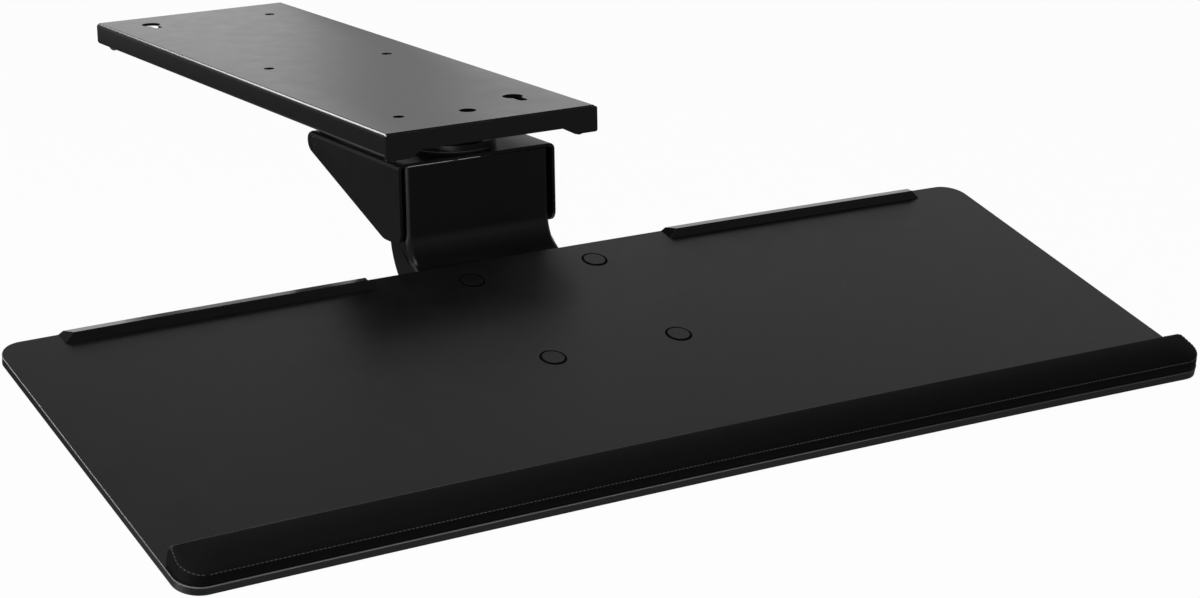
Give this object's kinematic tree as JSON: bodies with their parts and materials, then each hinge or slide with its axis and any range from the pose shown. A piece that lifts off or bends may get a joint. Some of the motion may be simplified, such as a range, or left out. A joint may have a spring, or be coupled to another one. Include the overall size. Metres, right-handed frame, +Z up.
{
  "type": "keyboard tray under desk",
  "caption": "Keyboard tray on a height and tilt arm that swivels and slides in a track under a desk, with keyboard stops and a padded wrist rest.",
  "frame": {"origin": "centre of the track's top face, which meets the underside of the desk", "axes": "+Z up out of that face, front of the tray toward -Y, +X to the right of the person at the desk"},
  "size_m": [0.66, 0.7155, 0.1475],
  "materials": {
    "track_paint": "satin dark grey",
    "black_paint": "satin black",
    "plated_steel": "zinc plated",
    "spring_steel": "oiled",
    "bronze": "plain",
    "slide_plastic": "natural",
    "friction_disc": "matte brown",
    "bumper_rubber": "matte",
    "board_plastic": "fine grained black",
    "stop_plastic": "satin black",
    "pad_cover": "smooth black",
    "knob_plastic": "matte black"
  },
  "bodies": {
    "track": {"track_rail": "track_paint", "slide_stop_screws": "black_paint", "slide_stop_bumpers": "bumper_rubber"},
    "carriage": {"carriage_plate": "plated_steel", "left_glide": "slide_plastic", "right_glide": "slide_plastic", "bearing_disc": "black_paint", "bearing_washer": "slide_plastic", "rivet_washer": "bronze"},
    "swivel": {"swivel_rivet": "plated_steel", "swivel_bracket": "black_paint", "height_pivot_pin": "black_paint", "spring_sleeves": "slide_plastic", "left_lift_spring": "spring_steel", "right_lift_spring": "spring_steel"},
    "arm": {"arm_channel": "black_paint", "pivot_bushes": "slide_plastic", "arm_cross_rod": "plated_steel", "tilt_spacer": "plated_steel", "friction_washers": "friction_disc"},
    "tray": {"tilt_bolt": "plated_steel", "tilt_bracket": "black_paint", "tray_board": "board_plastic", "sleeve_nuts": "black_paint", "bracket_screws": "plated_steel", "left_keyboard_stop": "stop_plastic", "right_keyboard_stop": "stop_plastic", "rest_base": "board_plastic", "wrist_pad": "pad_cover", "trim_screws": "plated_steel", "knob_washer": "plated_steel"},
    "knob": {"tilt_knob": "knob_plastic", "knob_nut": "plated_steel"}
  },
  "joints": [
    {"name": "track_slide", "type": "slide", "parent": "track", "child": "carriage", "axis": [0, 1, 0], "range_m": [0, 0.298]},
    {"name": "swivel_turn", "type": "hinge", "parent": "carriage", "child": "swivel", "pos_m": [0, -0.168, -0.0225], "axis": [0, 0, 1], "continuous": true},
    {"name": "height_swing", "type": "hinge", "parent": "swivel", "child": "arm", "pos_m": [0, -0.084, -0.032], "axis": [1, 0, 0], "range_deg": [0, 26], "deforming": ["left_lift_spring", "right_lift_spring"]},
    {"name": "tilt", "type": "hinge", "parent": "arm", "child": "tray", "pos_m": [0, -0.25603, -0.10703], "axis": [1, 0, 0], "range_deg": [-25, 0]},
    {"name": "knob_turn", "type": "hinge", "parent": "tray", "child": "knob", "pos_m": [0, -0.25603, -0.10703], "axis": [1, 0, 0], "range_deg": [0, 270]}
  ]
}
